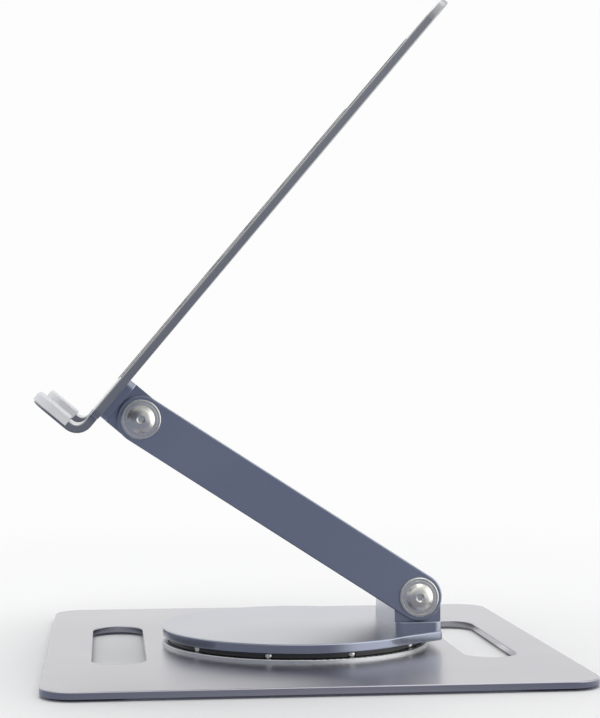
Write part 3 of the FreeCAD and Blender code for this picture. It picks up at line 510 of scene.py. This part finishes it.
def lathe(tree, corners, segments):
    """Turn a profile round the Z axis; corners are radius, height and rounding, from the top down."""
    line = add(tree, "GeometryNodeCurvePrimitiveLine")
    points = add(tree, "GeometryNodeResampleCurve", {"Curve": line.outputs["Curve"], "Count": len(corners)})
    places = [add(tree, "ShaderNodeCombineXYZ", {"X": radius, "Y": calc(tree, "MULTIPLY", height, -1.0)})
              for radius, height, rounding in corners]
    drawn = add(tree, "GeometryNodeSetPosition",
                {"Geometry": points.outputs["Curve"],
                 "Position": by_index(tree, "VECTOR", [place.outputs["Vector"] for place in places])})
    rounds = by_index(tree, "FLOAT", [rounding for radius, height, rounding in corners])
    profile = add(tree, "GeometryNodeFilletCurve", {"Curve": drawn.outputs["Geometry"], "Count": ROUND_STEPS,
                                                    "Radius": rounds, "Limit Radius": True}, mode="POLY")
    circle = add(tree, "GeometryNodeCurvePrimitiveCircle", {"Resolution": segments, "Radius": POINT_CIRCLE})
    swept = add(tree, "GeometryNodeCurveToMesh", {"Curve": circle.outputs["Curve"],
                                                  "Profile Curve": profile.outputs["Curve"]})
    return add(tree, "GeometryNodeMergeByDistance", {"Geometry": swept.outputs["Mesh"],
                                                     "Distance": WELD}).outputs["Geometry"]


# %% [markdown]
# ## Copies on host points
# A form stands on every point of a host, and the point carries the copy's turn. Instances would be lighter,
# but an export drops them, so Realize Instances makes the copies plain mesh before they get their finish. A
# turned piece also keeps each point's distance from its axis, which the turning marks of the caps follow.

# %% Stand copies on points
def keep_radius(tree, piece):
    """Store each point's distance from the axis, for turning marks."""
    flat = add(tree, "ShaderNodeVectorMath", {0: add(tree, "GeometryNodeInputPosition").outputs["Position"],
                                              1: (1, 1, 0)}, operation="MULTIPLY")
    radius = add(tree, "ShaderNodeVectorMath", {0: flat.outputs["Vector"]}, operation="LENGTH")
    return add(tree, "GeometryNodeStoreNamedAttribute", {"Geometry": piece, "Name": "turn_radius",
                                                         "Value": radius.outputs["Value"]},
               data_type="FLOAT", domain="POINT").outputs["Geometry"]


def stand_on_points(tree, points, piece, finish):
    """Stand a piece on every host point, make the copies real and give them their finish."""
    turn = add(tree, "GeometryNodeInputNamedAttribute", {"Name": "turn"}, data_type="FLOAT_VECTOR")
    rotation = add(tree, "FunctionNodeEulerToRotation", {"Euler": turn.outputs["Attribute"]})
    stood = add(tree, "GeometryNodeInstanceOnPoints", {"Points": points, "Instance": piece,
                                                       "Rotation": rotation.outputs["Rotation"]})
    real = add(tree, "GeometryNodeRealizeInstances", {"Geometry": stood.outputs["Instances"]})
    coated = add(tree, "GeometryNodeSetMaterial", {"Geometry": real.outputs["Geometry"], "Material": finish})
    add(tree, "NodeGroupOutput", {"Geometry": coated.outputs["Geometry"]})


# %% [markdown]
# ## From tree to piece
# A tree shows its result only through a modifier on some object. The host is that object: a few points and
# no faces. Its result is kept as a plain mesh and the host is removed, so what stays is one ordinary piece
# for each body, which follows that body and stands for the solids that it replaces. Faces that meet at a
# small angle are shaded as one curve, and true corners stay sharp.

# %% Turn a tree into a piece
SMOOTH_ANGLE = math.radians(35)


def grow(name, tree, sizes, places, body, nodes):
    """Run a tree on host points, keep the result as plain mesh and let it stand for its CAD nodes."""
    points = bpy.data.meshes.new(name + "_points")
    points.from_pydata([place for place, turn in places], [], [])
    turns = points.attributes.new("turn", "FLOAT_VECTOR", "POINT")
    turns.data.foreach_set("vector", [angle for place, turn in places for angle in turn])
    host = bpy.data.objects.new(name + "_host", points)
    scene.collection.objects.link(host)
    modifier = host.modifiers.new(name, "NODES")
    modifier.node_group = tree
    for socket in tree.interface.items_tree:
        if socket.in_out == "INPUT" and socket.name in sizes:
            modifier[socket.identifier] = sizes[socket.name]
    mesh = bpy.data.meshes.new_from_object(host.evaluated_get(bpy.context.evaluated_depsgraph_get()))
    bpy.data.objects.remove(host)
    mesh.shade_smooth()
    mesh.set_sharp_from_angle(angle=SMOOTH_ANGLE)
    piece = bpy.data.objects.new(name, mesh)
    scene.collection.objects.link(piece)
    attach(piece, body)
    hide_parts(*nodes)
    print(name + ":", len(places), "places,", len(mesh.polygons), "faces")


# %% [markdown]
# ## Hinge caps
# Each hinge is held by a turned cap screw on both sides. A flat collar lies on the arm, a dome rises inside
# it, and a dimple with a small land is left in its middle. A sphere on a disc would be quick, but the
# highlight that wanders over such a cap comes from its exact profile, so the caps are turned from one.

# %% Turn the hinge caps
joints = {joint["name"]: Vector(joint["pos_m"]) for joint in frame["record"]["behaviour"]["joints"]}
lower_pivot = joints["arm_hinge"]
upper_pivot = joints["tray_hinge"]
arm_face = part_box("arm_channel")[1].y

CAP_SIZES = {"Cap radius": 9.4 * MM, "Rim height": 1.5 * MM, "Groove radius": 8.0 * MM,
             "Groove depth": 0.12 * MM, "Dome radius": 6.5 * MM, "Shoulder radius": 4.8 * MM,
             "Shoulder height": 3.05 * MM, "Crown height": 3.7 * MM, "Dimple radius": 2.0 * MM,
             "Dimple floor": 3.1 * MM, "Shank radius": 3.0 * MM, "Shank length": 16.7 * MM,
             "Tip bevel": 0.5 * MM}
CAP_ROUNDS = {"dimple floor": 0.4 * MM, "dimple rim": 0.2 * MM, "dome": 4 * MM, "dome foot": 0.25 * MM,
              "groove": 0.05 * MM, "collar": 0.6 * MM, "collar foot": 0.1 * MM}
CAP_SEGMENTS = 72
DIMPLE_FLOOR_SHARE = 0.7


def turned_cap():
    """A flat collar, a groove, a dome and a dimple on a plain shank."""
    tree, size = sized_tree("turned_cap", CAP_SIZES)
    inner = calc(tree, "SUBTRACT", size["Groove radius"], size["Groove depth"])
    outer = calc(tree, "ADD", size["Groove radius"], size["Groove depth"])
    bottom = calc(tree, "SUBTRACT", size["Rim height"], size["Groove depth"])
    tip = calc(tree, "MULTIPLY", size["Shank length"], -1.0)
    bevel_start = calc(tree, "ADD", tip, size["Tip bevel"])
    tip_radius = calc(tree, "SUBTRACT", size["Shank radius"], size["Tip bevel"])
    floor_radius = calc(tree, "MULTIPLY", size["Dimple radius"], DIMPLE_FLOOR_SHARE)
    corners = [(0.0, size["Dimple floor"], 0.0),
               (floor_radius, size["Dimple floor"], CAP_ROUNDS["dimple floor"]),
               (size["Dimple radius"], size["Crown height"], CAP_ROUNDS["dimple rim"]),
               (size["Shoulder radius"], size["Shoulder height"], CAP_ROUNDS["dome"]),
               (size["Dome radius"], size["Rim height"], CAP_ROUNDS["dome foot"]),
               (inner, size["Rim height"], CAP_ROUNDS["groove"]),
               (size["Groove radius"], bottom, CAP_ROUNDS["groove"]),
               (outer, size["Rim height"], CAP_ROUNDS["groove"]),
               (size["Cap radius"], size["Rim height"], CAP_ROUNDS["collar"]),
               (size["Cap radius"], 0.0, CAP_ROUNDS["collar foot"]),
               (size["Shank radius"], 0.0, 0.0), (size["Shank radius"], bevel_start, 0.0),
               (tip_radius, tip, 0.0), (0.0, tip, 0.0)]
    cap = keep_radius(tree, lathe(tree, corners, CAP_SEGMENTS))
    stand_on_points(tree, size["Geometry"], cap, finishes["polished_caps"])
    return tree


cap_places = []
for pivot in (lower_pivot, upper_pivot):
    for side in (-1, 1):
        cap_places.append((Vector((pivot.x, side * arm_face, pivot.z)), (-side * math.pi / 2, 0, 0)))
grow("hinge_caps", turned_cap(), CAP_SIZES, cap_places, "arm",
     ["hinge_screw_%s_%s" % (end, side) for end in ("lower", "upper") for side in ("right", "left")])

# %% [markdown]
# ## Countersunk screws
# Four screws hold each hinge seat and six hold the bearing's lower race. They are the same kind in two
# sizes: a flat head with a cone below it, a plain shank and a hexagon socket. The turned blank comes from
# the same lathe, and a Boolean cuts the socket, as a broach would. One tree serves both sizes, because its
# inputs are the sizes.

# %% Make the countersunk screws
SEAT_SCREW = {"Head radius": 3.8 * MM, "Shank radius": 2.0 * MM, "Length": 7.2 * MM,
              "Socket width": 2.5 * MM, "Socket depth": 1.4 * MM, "Head land": 0.2 * MM}
RACE_SCREW = {"Head radius": 2.4 * MM, "Shank radius": 1.25 * MM, "Length": 4.3 * MM,
              "Socket width": 1.5 * MM, "Socket depth": 0.9 * MM, "Head land": 0.15 * MM}
HEAD_ROUND = 0.08 * MM
SCREW_SEGMENTS = 48
SEAT_PATTERN = [(x * MM, y * MM) for x in (-5.5, 5.5) for y in (-11, 11)]
SEAT_FLOOR = -11.8 * MM
RACE_CIRCLE = 54.5 * MM
RACE_SCREW_COUNT = 6
TRAY_ANGLE = 50.1


def countersunk_screw():
    """A flat head over a cone, a plain shank and a hexagon socket."""
    tree, size = sized_tree("countersunk_screw", SEAT_SCREW)
    rim = calc(tree, "SUBTRACT", size["Head radius"], size["Head land"])
    land = calc(tree, "MULTIPLY", size["Head land"], -1.0)
    throat = calc(tree, "SUBTRACT", size["Shank radius"], size["Head radius"])
    tip = calc(tree, "MULTIPLY", size["Length"], -1.0)
    bevel_start = calc(tree, "ADD", tip, size["Head land"])
    tip_radius = calc(tree, "SUBTRACT", size["Shank radius"], size["Head land"])
    corners = [(0.0, 0.0, 0.0), (rim, 0.0, HEAD_ROUND), (rim, land, 0.0),
               (size["Shank radius"], throat, 0.0), (size["Shank radius"], bevel_start, 0.0),
               (tip_radius, tip, 0.0), (0.0, tip, 0.0)]
    blank = lathe(tree, corners, SCREW_SEGMENTS)
    socket_radius = calc(tree, "DIVIDE", size["Socket width"], math.sqrt(3))
    reach = calc(tree, "MULTIPLY", size["Socket depth"], 2.0)
    broach = add(tree, "GeometryNodeMeshCylinder", {"Vertices": 6, "Radius": socket_radius, "Depth": reach})
    cut = add(tree, "GeometryNodeMeshBoolean", {"Mesh 1": blank, "Mesh 2": broach.outputs["Mesh"]},
              operation="DIFFERENCE", solver="EXACT")
    stand_on_points(tree, size["Geometry"], cut.outputs["Mesh"], finishes["zinc_plated_steel"])
    return tree


def seat_screw_places(pivot, turn):
    """The four screw heads on the floor of a hinge seat that is turned about its pivot."""
    tilt = Matrix.Rotation(turn, 3, "Y")
    return [(pivot + tilt @ Vector((x, y, SEAT_FLOOR)), (0, turn, 0)) for x, y in SEAT_PATTERN]


screw_tree = countersunk_screw()
grow("lower_seat_screws_turned", screw_tree, SEAT_SCREW, seat_screw_places(lower_pivot, 0), "turntable",
     ["lower_seat_screws"])
grow("upper_seat_screws_turned", screw_tree, SEAT_SCREW,
     seat_screw_places(upper_pivot, math.radians(180 - TRAY_ANGLE)), "tray",
     ["upper_seat_screws"])
race_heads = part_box("base_plate")[0].z
race_places = []
for number in range(RACE_SCREW_COUNT):
    angle = math.tau * number / RACE_SCREW_COUNT
    head = Vector((RACE_CIRCLE * math.cos(angle), RACE_CIRCLE * math.sin(angle), race_heads))
    race_places.append((head, (math.pi, 0, 0)))
grow("race_screws_turned", screw_tree, RACE_SCREW, race_places, "base", ["race_screws"])

# %% [markdown]
# ## Bearing balls
# Ten steel balls in a cage carry the turntable, and they are the bright spots in the dark gap under the
# disc. A ring is the plainest pattern in Geometry Nodes: a circle of points, a ball on each, and one host
# point for the ring's middle.

# %% Set the ring of balls
BALL_SIZES = {"Ball radius": 2 * MM, "Ring radius": 61 * MM}
BALL_COUNT = 10
BALL_SEGMENTS = 32
BALL_RINGS = 20


def ball_ring():
    """A ring of balls round one host point."""
    tree, size = sized_tree("ball_ring", BALL_SIZES)
    ring = add(tree, "GeometryNodeMeshCircle", {"Vertices": BALL_COUNT, "Radius": size["Ring radius"]})
    ball = add(tree, "GeometryNodeMeshUVSphere", {"Segments": BALL_SEGMENTS, "Rings": BALL_RINGS,
                                                  "Radius": size["Ball radius"]})
    balls = add(tree, "GeometryNodeInstanceOnPoints", {"Points": ring.outputs["Mesh"],
                                                       "Instance": ball.outputs["Mesh"]})
    stand_on_points(tree, size["Geometry"], balls.outputs["Instances"], finishes["polished_caps"])
    return tree


ball_low, ball_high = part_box("bearing_balls")
ring_middle = Vector((0, 0, (ball_low.z + ball_high.z) / 2))
grow("bearing_ball_ring", ball_ring(), BALL_SIZES, [(ring_middle, (0, 0, 0))], "bearing",
     ["bearing_balls"])
